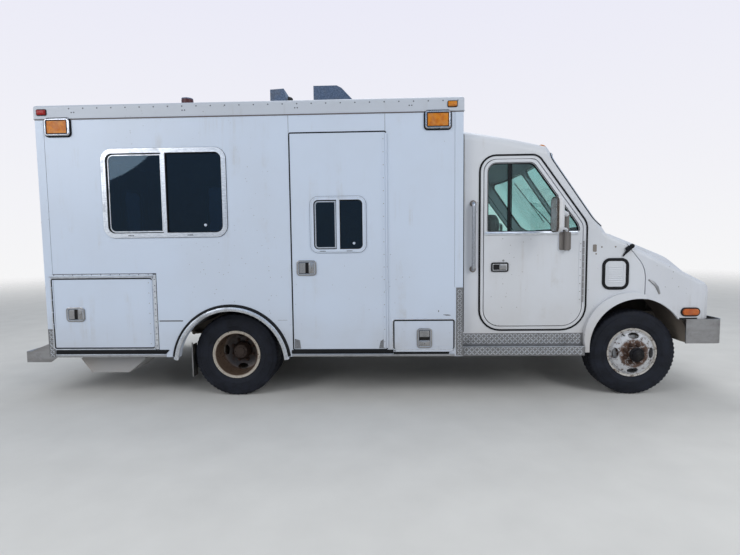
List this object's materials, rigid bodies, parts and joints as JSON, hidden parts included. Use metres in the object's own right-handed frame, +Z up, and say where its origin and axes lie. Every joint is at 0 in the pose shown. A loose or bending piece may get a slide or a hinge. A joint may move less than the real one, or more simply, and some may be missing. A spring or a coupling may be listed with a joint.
{
  "type": "step van",
  "caption": "Walk-in step van with a tilting nose, cutaway cab with hinged doors and a flat-sided service body with entry door, lockers, rear doors, side windows and twin rear wheels.",
  "frame": {"origin": "centre of the van's footprint on the ground, halfway between the bumper ends", "axes": "+X forward, +Y to the driver's side, +Z up"},
  "size_m": [6.285, 2.85, 2.797],
  "materials": {
    "white_paint": "weathered gloss white paint",
    "tinted_glass": "dark tinted glass",
    "cab_glass": "greenish clear glass",
    "bright_aluminium": "mill finish aluminium",
    "plate": "dull grey plate",
    "grey_interior": "grey interior paint",
    "seat_vinyl": "dark vinyl",
    "dark_plastic": "matte black",
    "amber_lens": "amber lens",
    "chassis_steel": "dirty black chassis paint",
    "tyre": "black rubber",
    "pale_wheel": "peeling white paint",
    "rusty_wheel": "rusty brown"
  },
  "bodies": {
    "body": {"box_wall_right": "white_paint", "box_wall_left": "white_paint", "box_window_frames": "bright_aluminium", "box_window_glass": "tinted_glass", "box_roof": "white_paint", "box_front_wall": "white_paint", "box_rear_frame": "white_paint", "box_floor": "plate", "lockers": "plate", "cab_shell": "white_paint", "windshield": "cab_glass", "cab_floor": "grey_interior", "seat_cushions": "seat_vinyl", "dashboard": "dark_plastic", "side_steps": "plate", "grab_bars": "bright_aluminium", "body_lamps": "amber_lens", "roof_vents": "white_paint", "front_bumper": "plate", "rear_bumper": "plate", "leaf_springs": "chassis_steel", "ladder_frame": "chassis_steel", "axles": "chassis_steel", "powertrain": "chassis_steel", "fuel_tank": "plate"},
    "entry_door": {"entry_door": "white_paint", "entry_door_glass": "tinted_glass"},
    "rear_locker_door_right": {"rear_locker_door_right": "white_paint"},
    "rear_locker_door_left": {"rear_locker_door_left": "white_paint"},
    "front_locker_door": {"front_locker_door": "white_paint"},
    "rear_door_right": {"rear_door_right": "white_paint", "rear_door_right_glass": "tinted_glass"},
    "rear_door_left": {"rear_door_left": "white_paint", "rear_door_left_glass": "tinted_glass"},
    "nose": {"nose": "white_paint"},
    "steering_wheel": {"steering_wheel": "dark_plastic"},
    "cab_door_right": {"cab_door_right": "white_paint", "cab_door_right_glass": "cab_glass"},
    "cab_door_left": {"cab_door_left": "white_paint", "cab_door_left_glass": "cab_glass"},
    "knuckle_right": {"knuckle_right": "chassis_steel"},
    "knuckle_left": {"knuckle_left": "chassis_steel"},
    "front_wheel_right": {"tyre_front_right": "tyre", "wheel_front_right": "pale_wheel"},
    "front_wheel_left": {"tyre_front_left": "tyre", "wheel_front_left": "pale_wheel"},
    "rear_wheels_right": {"tyres_rear_right": "tyre", "wheels_rear_right": "rusty_wheel"},
    "rear_wheels_left": {"tyres_rear_left": "tyre", "wheels_rear_left": "rusty_wheel"}
  },
  "joints": [
    {"name": "entry_door_hinge", "type": "hinge", "parent": "body", "child": "entry_door", "pos_m": [0.2105, -1.1773, 1.4], "axis": [0, 0, 1], "range_deg": [0, 100]},
    {"name": "rear_locker_right_hinge", "type": "hinge", "parent": "body", "child": "rear_locker_door_right", "pos_m": [-1.8855, -1.1773, 0.795], "axis": [0, 0, 1], "range_deg": [0, 120]},
    {"name": "rear_locker_left_hinge", "type": "hinge", "parent": "body", "child": "rear_locker_door_left", "pos_m": [-1.8855, 1.1773, 0.795], "axis": [0, 0, -1], "range_deg": [0, 120]},
    {"name": "front_locker_hinge", "type": "hinge", "parent": "body", "child": "front_locker_door", "pos_m": [0.5305, -1.1773, 0.446], "axis": [1, 0, 0], "range_deg": [0, 90]},
    {"name": "rear_door_right_hinge", "type": "hinge", "parent": "body", "child": "rear_door_right", "pos_m": [-2.8648, -0.647, 1.5], "axis": [0, 0, 1], "range_deg": [0, 110]},
    {"name": "rear_door_left_hinge", "type": "hinge", "parent": "body", "child": "rear_door_left", "pos_m": [-2.8648, 0.647, 1.5], "axis": [0, 0, -1], "range_deg": [0, 110]},
    {"name": "nose_hinge", "type": "hinge", "parent": "body", "child": "nose", "pos_m": [3.0295, 0, 0.69], "axis": [0, 1, 0], "range_deg": [0, 50]},
    {"name": "cab_door_right_hinge", "type": "hinge", "parent": "body", "child": "cab_door_right", "pos_m": [1.9255, -1.1123, 1.1], "axis": [0, 0, 1], "range_deg": [0, 70]},
    {"name": "cab_door_left_hinge", "type": "hinge", "parent": "body", "child": "cab_door_left", "pos_m": [1.9255, 1.1123, 1.1], "axis": [0, 0, -1], "range_deg": [0, 70]},
    {"name": "steering_wheel_turn", "type": "hinge", "parent": "body", "child": "steering_wheel", "pos_m": [1.5195, 0.56, 1.33], "axis": [0.788, 0, -0.6157], "range_deg": [-560, 560]},
    {"name": "steer_right", "type": "hinge", "parent": "body", "child": "knuckle_right", "pos_m": [2.4195, -0.86, 0.3855], "axis": [0, 0, 1], "range_deg": [-35, 35]},
    {"name": "steer_left", "type": "hinge", "parent": "body", "child": "knuckle_left", "pos_m": [2.4195, 0.86, 0.3855], "axis": [0, 0, 1], "range_deg": [-35, 35]},
    {"name": "front_right_spin", "type": "hinge", "parent": "knuckle_right", "child": "front_wheel_right", "pos_m": [2.4195, -0.92, 0.3855], "axis": [0, 1, 0], "continuous": true},
    {"name": "front_left_spin", "type": "hinge", "parent": "knuckle_left", "child": "front_wheel_left", "pos_m": [2.4195, 0.92, 0.3855], "axis": [0, 1, 0], "continuous": true},
    {"name": "rear_right_spin", "type": "hinge", "parent": "body", "child": "rear_wheels_right", "pos_m": [-1.1875, -0.818, 0.3855], "axis": [0, 1, 0], "continuous": true},
    {"name": "rear_left_spin", "type": "hinge", "parent": "body", "child": "rear_wheels_left", "pos_m": [-1.1875, 0.818, 0.3855], "axis": [0, 1, 0], "continuous": true}
  ],
  "couplings": [
    {"joint": "steer_left", "follows": "steer_right", "ratio": 1},
    {"joint": "steering_wheel_turn", "follows": "steer_right", "ratio": -16}
  ]
}
